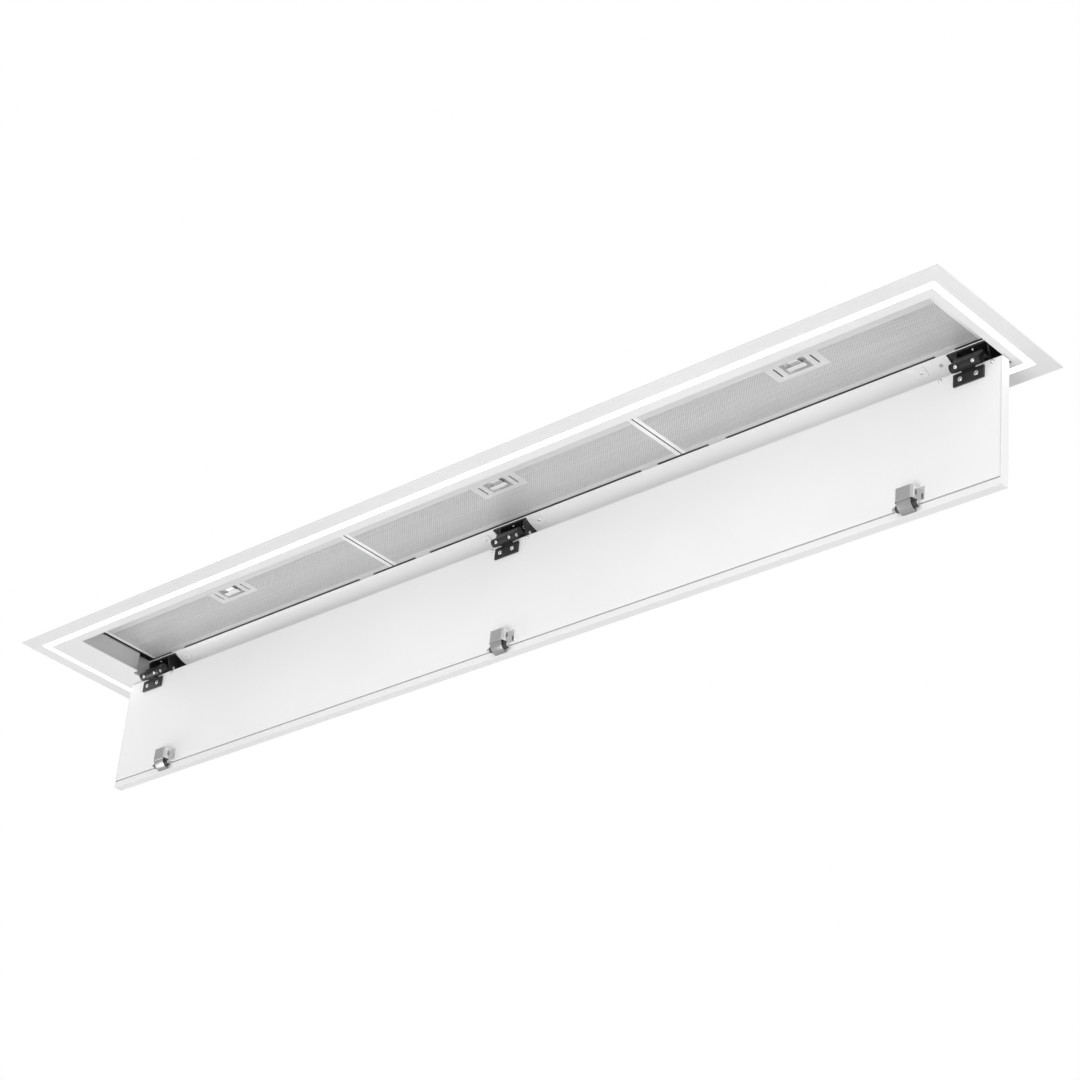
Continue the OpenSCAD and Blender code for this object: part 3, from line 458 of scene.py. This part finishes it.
def merged(node, name):
    """A copy of a CAD node's mesh with its points merged and its flat faces joined."""
    piece = bpy.data.objects.new(name, NODES[node].data.copy())
    bpy.context.scene.collection.objects.link(piece)
    only(piece)
    bpy.ops.object.mode_set(mode="EDIT")
    bpy.ops.mesh.select_all(action="SELECT")
    bpy.ops.mesh.remove_doubles(threshold=MERGE_DISTANCE)
    bpy.ops.mesh.dissolve_limited(angle_limit=math.radians(FLAT_ANGLE))
    bpy.ops.object.mode_set(mode="OBJECT")
    return piece


def soften(piece, width, segments, angle):
    """A Bevel modifier for the edges that turn by more than an angle in degrees."""
    bevel = piece.modifiers.new("edges", "BEVEL")
    bevel.width = width
    bevel.segments = segments
    bevel.limit_method = "ANGLE"
    bevel.angle_limit = math.radians(angle)


def smooth(piece, angle=40):
    """Smooth shading that follows the large flat faces, so that a small bevel doesn't tint them."""
    only(piece)
    bpy.ops.object.shade_smooth_by_angle(angle=math.radians(angle))
    weighted = piece.modifiers.new("normals", "WEIGHTED_NORMAL")
    weighted.keep_sharp = True
    apply_all(piece)


def slot_of(node):
    """The material slot that the record gives a CAD node."""
    return next(part["material_slot"] for part in frame["record"]["subparts"] if part["node"] == node)


def settle(piece, body, slot, material, *stands_for):
    """Puts a finished piece's place into its mesh, gives it its body and finish, and hides the nodes it
    stands for.
    """
    only(piece)
    bpy.ops.object.transform_apply(location=True, rotation=True, scale=True)
    piece.data.materials.clear()
    piece.data.materials.append(material)
    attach(piece, body)
    if stands_for:
        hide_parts(*stands_for)
    return piece


print("solids to choose from:", len(NODES))

# %% [markdown]
# No sheet edge is perfectly sharp, and a small bevel is what catches a line of light. It is half a
# millimetre wide at most, on thick painted sheet, and less on thin steel. It could be made by hand in edit
# mode, but a Bevel modifier finds the edges that turn by more than a set angle and rounds only those.

# %% Round the solids' edges
EDGE_ANGLE = 30


def rounded(node, material, width):
    """A copy of a CAD node with small rounded edges, which then stands for it."""
    piece = merged(node, node + "_piece")
    soften(piece, width, 2, EDGE_ANGLE)
    apply_all(piece)
    smooth(piece)
    return settle(piece, NODES[node]["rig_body"], slot_of(node), material, node)


for node, material, width in (
        ("flange_frame", flange_paint, 0.5), ("inner_plate", plate_finish, 0.4),
        ("hinge_rail", rail_paint, 0.3), ("filter_bay", bay_steel, 0.2),
        ("panel_tray", panel_paint, 0.5), ("panel_liner", liner_paint, 0.4)):
    rounded(node, material, width * MM)
for side in SIDES:
    rounded("hinge_bracket_" + side, hinge_black, 0.3 * MM)
    rounded("hinge_arm_" + side, hinge_black, 0.4 * MM)
    rounded("hinge_leaf_" + side, hinge_black, 0.4 * MM)
    rounded("latch_plate_" + side, latch_steel, 0.4 * MM)
    rounded("latch_bolt_" + side, chrome_bright, 0.4 * MM)
    rounded("catch_roller_" + side, roller_black, 0.5 * MM)
rounded("catch_pins", knob_steel, 0.5 * MM)
rounded("catch_magnets", magnet_grey, 0.3 * MM)

# %% [markdown]
# The filters' long bars are rolled from thin sheet. Their end bars are painted near-white where they face
# down to the lamps, which is a painted highlight. Their inner walls are painted nearly black, which is
# painted shade. Separate bars could be laid over the frame's ends, but they would lie in the same plane and
# flicker. So the frame is cut across at both end bars, and the faces of each bar take a finish of their own.

# %% Filter frames with a painted highlight and painted shade on the end bars
BAR_END = 7.0 * MM
DOWN = 0.7
for side in SIDES:
    frame_piece = rounded("filter_frame_" + side, frame_steel, 0.4 * MM)
    low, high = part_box("filter_frame_" + side)
    ends = (low.x + BAR_END, high.x - BAR_END)
    only(frame_piece)
    for x in ends:
        bpy.ops.object.mode_set(mode="EDIT")
        bpy.ops.mesh.select_all(action="SELECT")
        bpy.ops.mesh.bisect(plane_co=(x, 0, 0), plane_no=(1, 0, 0))
        bpy.ops.object.mode_set(mode="OBJECT")
    # The end bars' down faces get a painted highlight, and their side walls get painted shade.
    frame_piece.data.materials.append(bar_painted_highlight)
    frame_piece.data.materials.append(bar_shade)
    for face in frame_piece.data.polygons:
        in_bar = face.center.x < ends[0] + MM / 10 or face.center.x > ends[1] - MM / 10
        if in_bar and face.normal.z < -DOWN:
            face.material_index = 1
        elif in_bar and abs(face.normal.x) > DOWN:
            face.material_index = 2
print("filter frames:", len(SIDES))

# %% [markdown]
# The rail's rolled front edge runs on in front of the black brackets, where the rail itself is cut away.
# The filters' hooks turn on it. A cylinder would do, but it is placed by its middle. A disc is set just
# before each bracket and extruded to just past it, which reads straight from the bracket's box.

# %% Rolled edge across the brackets
ROLL_RADIUS = 0.95 * MM
ROLL_PLACE = (63.45 * MM, 31.0 * MM)
ROLL_PAST = 1.0 * MM
for side in SIDES:
    low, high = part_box("hinge_bracket_" + side)
    bpy.ops.mesh.primitive_circle_add(vertices=24, radius=ROLL_RADIUS, fill_type="NGON",
                                      rotation=(0, math.radians(90), 0),
                                      location=(low.x - ROLL_PAST, *ROLL_PLACE))
    roll = bpy.context.object
    roll.name = "rolled_edge_" + side
    only(roll)
    bpy.ops.object.mode_set(mode="EDIT")
    bpy.ops.mesh.select_mode(type="FACE")
    bpy.ops.mesh.select_all(action="SELECT")
    length = high.x - low.x + 2 * ROLL_PAST
    bpy.ops.mesh.extrude_region_move(TRANSFORM_OT_translate={"value": (length, 0, 0)})
    bpy.ops.mesh.select_all(action="SELECT")
    bpy.ops.mesh.normals_make_consistent(inside=False)
    bpy.ops.object.mode_set(mode="OBJECT")
    bpy.ops.object.shade_smooth_by_angle(angle=math.radians(40))
    settle(roll, "hood", "rail_white", rail_paint)
print("rolled edge: 3 lengths")

# %% [markdown]
# The pads are pressed out of the rail's roof, so their corners are rounded in the sheet's plane as well.
# A Bevel modifier would round the corners and the rims by the same radius. So the corner edges, which are
# only as long as the pad is high, are picked by their length and get their own wide bevel first.

# %% Pads with round corners
PAD_HEIGHT = 1.0 * MM
PAD_CORNER = 4.0 * MM
pads = merged("rail_pads", "rail_pads_piece")
only(pads)
bpy.ops.object.mode_set(mode="EDIT")
bpy.ops.mesh.select_mode(type="EDGE")
bpy.ops.mesh.select_all(action="DESELECT")
bpy.ops.object.mode_set(mode="OBJECT")
for edge in pads.data.edges:
    first, second = (pads.data.vertices[index].co for index in edge.vertices)
    edge.select = (first - second).length < 2 * PAD_HEIGHT
bpy.ops.object.mode_set(mode="EDIT")
bpy.ops.mesh.bevel(offset=PAD_CORNER, segments=6)
bpy.ops.object.mode_set(mode="OBJECT")
soften(pads, PAD_HEIGHT / 2, 3, 50)
apply_all(pads)
smooth(pads)
settle(pads, "hood", slot_of("rail_pads"), rail_paint, "rail_pads")
print("pads: faces", len(pads.data.polygons))

# %% [markdown]
# ## Catches
# A catch is a hat section of bright sheet round a magnet. Its flat front is inset and painted in the
# magnets' grey, which is a painted reflection of the room that the flat chrome would mirror. Its bends stay
# chrome. An oval slot in the side lets a driver reach the screw inside. A Boolean with a stretched cylinder
# cuts it in one go, and the bevel comes after it, so that the slot's rim is softened like every other edge.

# %% Dress the catches
PANEL_EDGE = Vector((0, 61.5 * MM, -4.0 * MM))
LEAN = math.radians(3.3)
ON_PANEL = Matrix.Translation(PANEL_EDGE) @ Matrix.Rotation(LEAN, 4, "X")
inward = ON_PANEL.to_3x3() @ Vector((0, -1, 0))
CATCH_MIDDLE = 155.25 * MM
SLOT_SIDE = 12.5 * MM
SLOT_RISE = 7.5 * MM
SLOT_DEPTH = 7.0 * MM
SLOT_RADIUS = 2.0 * MM
SLOT_STRETCH = 2.2
FACE_EDGE = 0.35 * MM
FACING = 0.99


def pick(piece, test):
    """Selects the faces that pass a test, and stays in edit mode."""
    only(piece)
    bpy.ops.object.mode_set(mode="EDIT")
    bpy.ops.mesh.select_mode(type="FACE")
    bpy.ops.mesh.select_all(action="DESELECT")
    bpy.ops.object.mode_set(mode="OBJECT")
    for face in piece.data.polygons:
        face.select = test(face)
    bpy.ops.object.mode_set(mode="EDIT")


def cut_with(piece, cutter):
    """A Boolean modifier that takes a cutter's shape out of a piece."""
    cut = piece.modifiers.new("cut", "BOOLEAN")
    cut.operation = "DIFFERENCE"
    cut.object = cutter


def catch(side):
    """One catch's bracket with a slot in its side and a front painted grey as a painted reflection."""
    piece = merged("catch_bracket_" + side, "catch_bracket_" + side + "_piece")
    low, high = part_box("catch_bracket_" + side)
    middle = (low.x + high.x) / 2
    bpy.ops.mesh.primitive_cylinder_add(vertices=32, radius=SLOT_RADIUS, depth=SLOT_DEPTH)
    cutter = bpy.context.object
    cutter.matrix_world = (ON_PANEL @ Matrix.Translation((middle + SLOT_SIDE, -SLOT_RISE, -CATCH_MIDDLE))
                           @ Matrix.Rotation(math.radians(90), 4, "Y")
                           @ Matrix.Diagonal((SLOT_STRETCH, 1, 1, 1)))
    cut_with(piece, cutter)
    soften(piece, 0.2 * MM, 2, 40)
    apply_all(piece)
    bpy.data.objects.remove(cutter)
    smooth(piece)
    settle(piece, "panel", slot_of("catch_bracket_" + side), chrome_bright, "catch_bracket_" + side)
    # The flat front gets the magnets' grey as a painted reflection.
    piece.data.materials.append(magnet_grey)
    fronts = [face.center.dot(-inward) for face in piece.data.polygons if face.normal.dot(inward) > FACING]
    reach = min(fronts) + FACE_EDGE
    pick(piece, lambda face: face.normal.dot(inward) > FACING and face.center.dot(-inward) < reach)
    bpy.ops.mesh.inset(thickness=FACE_EDGE)
    piece.active_material_index = 1
    bpy.ops.object.material_slot_assign()
    bpy.ops.object.mode_set(mode="OBJECT")
    grey_faces = sum(face.material_index == 1 for face in piece.data.polygons)
    print(piece.name, "faces:", len(piece.data.polygons), "grey:", grey_faces)


for side in SIDES:
    catch(side)

# %% [markdown]
# Under each catch a spring tongue bows down to the panel's rim. Pressed spring steel has a raised edge,
# which stiffens it. A bevel would only round the outline, so the tongue's large faces are inset by the
# edge's width, and what lies inside is pushed back a little.

# %% Spring tongues with raised edges
RIM = 1.4 * MM
RIM_HEIGHT = 0.25 * MM
TONGUE_AREA = 20 * MM * MM
TURNED_IN = 0.15
TURNED_DOWN = -0.4
tongues = merged("catch_springs", "catch_springs_piece")
pick(tongues, lambda face: face.area > TONGUE_AREA and (face.normal.dot(inward) > TURNED_IN
                                                        or face.normal.z < TURNED_DOWN))
bpy.ops.mesh.inset(thickness=RIM)
bpy.ops.transform.shrink_fatten(value=-RIM_HEIGHT)
bpy.ops.object.mode_set(mode="OBJECT")
bpy.ops.object.shade_smooth_by_angle(angle=math.radians(30))
settle(tongues, "panel", slot_of("catch_springs"), spring_steel, "catch_springs")
print("tongues: faces", len(tongues.data.polygons))

# %% [markdown]
# ## Screws, rivets and studs
# All of these are turned parts. Spin could turn a profile round, but it leaves a seam and a pole to clean.
# Here a disc is extruded and scaled step by step along its profile, as a lathe would leave it. The places
# are read from the solids: each head's outer face is a many-sided disc that looks down or to the front. One
# model of each kind is copied to its seats.

# %% Turn a profile, find the seats and fill them
ROUND_SIDES = 12
OUTWARD = -0.5


def turned(name, profile):
    """A turned piece round Z, from pairs of radius and height in millimetres."""
    radius, height = profile[0]
    bpy.ops.mesh.primitive_circle_add(vertices=32, radius=radius * MM, fill_type="NGON", location=(0, 0, 0))
    piece = bpy.context.object
    piece.name = name
    only(piece)
    bpy.ops.object.mode_set(mode="EDIT")
    bpy.ops.mesh.select_mode(type="FACE")
    bpy.ops.mesh.select_all(action="SELECT")
    bpy.ops.transform.translate(value=(0, 0, height * MM))
    for (radius, height), (next_radius, next_height) in zip(profile, profile[1:]):
        rise = (next_height - height) * MM
        bpy.ops.mesh.extrude_region_move(TRANSFORM_OT_translate={"value": (0, 0, rise)})
        share = next_radius / radius
        bpy.ops.transform.resize(value=(share, share, 1))
    bpy.ops.mesh.select_all(action="SELECT")
    bpy.ops.mesh.normals_make_consistent(inside=False)
    bpy.ops.object.mode_set(mode="OBJECT")
    bpy.ops.object.shade_smooth_by_angle(angle=math.radians(35))
    return piece


def seats(node):
    """Centre, outward direction and radius of each head's outer face, from left to right."""
    probe = merged(node, "probe")
    found = []
    for face in probe.data.polygons:
        if len(face.vertices) > ROUND_SIDES and face.normal.y + face.normal.z < OUTWARD:
            points = [probe.data.vertices[index].co for index in face.vertices]
            centre = sum(points, Vector()) / len(points)
            found.append((centre, face.normal.copy(), max((point - centre).length for point in points)))
    bpy.data.objects.remove(probe)
    return sorted(found, key=lambda seat: seat[0].x)


def fill(model, node, found, height):
    """Puts a copy of a model at every seat, turned at random, and takes the model away."""
    for number, (centre, outward, radius) in enumerate(found):
        copy = bpy.data.objects.new(model.name + "_" + str(number + 1), model.data.copy())
        bpy.context.scene.collection.objects.link(copy)
        copy.matrix_world = (Matrix.Translation(centre - outward * height * MM)
                             @ outward.to_track_quat("Z", "Y").to_matrix().to_4x4()
                             @ Matrix.Rotation(random.uniform(0, math.pi), 4, "Z"))
        settle(copy, NODES[node]["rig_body"], slot_of(node), chrome_bright, node)
    print(model.name, "copies:", len(found))
    bpy.data.objects.remove(model)


# %% [markdown]
# Two pan-head screws hold each hinge leaf to the panel. The cross in a head is what tells a screw from a
# rivet at a glance. Two thin bars, one turned by a quarter, are cut out of the turned head, because a
# picture of a cross would lie flat on it and catch no shadow.

# %% Leaf screws with a cross in the recess
SCREW = ((0.7, -6.0), (1.9, -5.0), (1.9, 0), (3.4, 0), (3.4, 0.4), (3.1, 0.8), (2.6, 1.0), (1.7, 1.0),
         (1.45, 0.35))
SCREW_HEAD = 1.0
CROSS_BAR = (0.55 * MM, 2.4 * MM, 1.6 * MM)
screw = turned("leaf_screw", SCREW)
for turn in (0, 90):
    bpy.ops.mesh.primitive_cube_add(size=1, location=(0, 0, 0))
    bar = bpy.context.object
    bar.scale = CROSS_BAR
    bar.rotation_euler.z = math.radians(turn)
    cut_with(screw, bar)
    apply_all(screw)
    bpy.data.objects.remove(bar)
print("leaf screw faces:", len(screw.data.polygons))
fill(screw, "leaf_screws", seats("leaf_screws"), SCREW_HEAD)

# %% [markdown]
# Two rivets sit in the front of each hinge barrel, and their ends have a dimple. The studs in the panel have
# a thin flange and a rounded pin. Both follow from their profiles alone, with no cutter.

# %% Barrel rivets and panel studs
BARREL_RIVET = ((1.3, -2.0), (1.3, 0), (2.6, 0), (2.6, 0.6), (2.3, 1.0), (1.7, 1.2), (1.1, 1.15), (0.9, 0.85),
                (0.3, 0.8))
PANEL_STUD = ((3.0, 0), (3.0, 0.45), (2.7, 0.6), (2.0, 0.6), (1.9, 2.1), (1.4, 2.5), (0.4, 2.5))
fill(turned("arm_rivet", BARREL_RIVET), "arm_rivets", seats("arm_rivets"), 1.2)
fill(turned("panel_stud", PANEL_STUD), "panel_studs", seats("panel_studs"), 2.5)

# %% [markdown]
# One solid holds all the heads on the rail and its brackets. They are told apart by size and direction: the
# wide ones that look straight down are bolts that hang down from it, the wide ones on the slope of the roof
# are studs, and the small ones are rivets.

# %% Heads on the rail and its brackets
SMALL_HEAD = 2.6 * MM
STRAIGHT_DOWN = -0.999
HANGING_BOLT = ((3.0, 0), (3.0, 1.0), (2.1, 1.2), (2.1, 4.4), (3.0, 4.5), (3.0, 5.6), (2.7, 6.0), (1.6, 6.0),
                (1.4, 5.2))
ROOF_STUD = ((3.0, 0), (3.0, 0.4), (2.6, 1.0), (1.8, 1.2), (0.5, 1.2))
RAIL_RIVET = ((2.2, 0), (2.2, 0.35), (1.9, 0.8), (1.3, 1.1), (0.8, 1.2), (0.7, 0.7), (0.3, 0.6))
rail_heads = seats("rail_rivets")
small_heads = [seat for seat in rail_heads if seat[2] <= SMALL_HEAD]
hanging = [seat for seat in rail_heads if seat[2] > SMALL_HEAD and seat[1].z < STRAIGHT_DOWN]
roof_studs = [seat for seat in rail_heads if seat[2] > SMALL_HEAD and seat[1].z >= STRAIGHT_DOWN]
fill(turned("hanging_bolt", HANGING_BOLT), "rail_rivets", hanging, 6.0)
fill(turned("roof_stud", ROOF_STUD), "rail_rivets", roof_studs, 1.2)
fill(turned("rail_rivet", RAIL_RIVET), "rail_rivets", small_heads, 1.2)

# %% [markdown]
# ## Finishes of the other solids
# What is left is the housing, the ducts and the electrics above the ceiling, the light strip, the small
# pins and the sheets behind the mesh. They could be rounded too, but their edges are hidden from the room
# or too small to show, so they keep their CAD mesh and only get a material.

# %% Paint the CAD nodes
def paint(material, *names):
    """Gives CAD nodes a material in every slot."""
    for name in names:
        mesh = NODES[name].data
        mesh.materials.clear()
        mesh.materials.append(material)
    print(material.name, "on", len(names))


paint(opal, "light_diffuser")
paint(strip_board, "light_strip")
paint(zinc, "light_channel", "housing_shell", "housing_top", "hanging_lugs", "duct_collar_left",
      "duct_collar_right")
paint(chrome_bright, "arm_pins", "leaf_pins", "damper_pins")
paint(spring_steel, "damper_left_a", "damper_left_b", "damper_right_a", "damper_right_b")
paint(mesh_back, *("filter_mesh_" + side for side in SIDES))
paint(case_plastic, "light_driver", "terminal_box", "terminal_lid")
paint(gland_plastic, "cable_gland")

# %% [markdown]
# ## Expanded mesh
# A mesh filter is a pack of slit and stretched sheet, with diamond openings. A grid is poked, so that each
# square gets a centre point, and its old edges are dissolved, which leaves diamonds. Each diamond is inset
# and its middle deleted, and the strands that are left get a thickness. A picture with holes would be
# lighter, but it would show no depth from the side.

# %% Make the filters' wire
CELL = 4.0 * MM
STRAND = 0.55 * MM
WIRE = 0.7 * MM
CLEAR = 0.1 * MM


def diamonds(side):
    """A sheet of diamond faces over one filter's opening, left open behind the latch plate."""
    low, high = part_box("filter_mesh_" + side)
    latch_low, latch_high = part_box("latch_plate_" + side)
    across, along = round((high.x - low.x) / CELL), round((high.y - low.y) / CELL)
    bpy.ops.mesh.primitive_grid_add(x_subdivisions=across, y_subdivisions=along, size=1,
                                    location=((low.x + high.x) / 2, (low.y + high.y) / 2, low.z - CLEAR))
    piece = bpy.context.object
    piece.name = "filter_wire_" + side
    piece.scale = (high.x - low.x, high.y - low.y, 1)
    only(piece)
    bpy.ops.object.transform_apply(location=True, rotation=True, scale=True)
    corners = len(piece.data.vertices)
    bpy.ops.object.mode_set(mode="EDIT")
    bpy.ops.mesh.select_all(action="SELECT")
    bpy.ops.mesh.poke()
    bpy.ops.mesh.select_all(action="DESELECT")
    bpy.ops.mesh.select_mode(type="EDGE")
    bpy.ops.object.mode_set(mode="OBJECT")
    for edge in piece.data.edges:
        edge.select = max(edge.vertices) < corners
    bpy.ops.object.mode_set(mode="EDIT")
    bpy.ops.mesh.dissolve_edges(use_verts=False)
    bpy.ops.mesh.select_mode(type="FACE")
    bpy.ops.mesh.select_all(action="DESELECT")
    bpy.ops.object.mode_set(mode="OBJECT")
    for face in piece.data.polygons:
        face.select = (latch_low.x + CELL < face.center.x < latch_high.x - CELL
                       and face.center.y < latch_high.y - CELL / 2)
    bpy.ops.object.mode_set(mode="EDIT")
    bpy.ops.mesh.delete(type="FACE")
    return piece


def wire_sheet(side):
    """The visible sheet of expanded mesh in one filter."""
    piece = diamonds(side)
    bpy.ops.mesh.select_all(action="SELECT")
    bpy.ops.mesh.inset(thickness=STRAND, use_individual=True, use_boundary=True)
    bpy.ops.mesh.delete(type="FACE")
    bpy.ops.object.mode_set(mode="OBJECT")
    solid = piece.modifiers.new("thickness", "SOLIDIFY")
    solid.thickness = WIRE
    solid.offset = -1
    apply_all(piece)
    print(piece.name, "faces:", len(piece.data.polygons))
    settle(piece, "filter_" + side, "mesh_aluminium", mesh_metal)


for side in SIDES:
    wire_sheet(side)
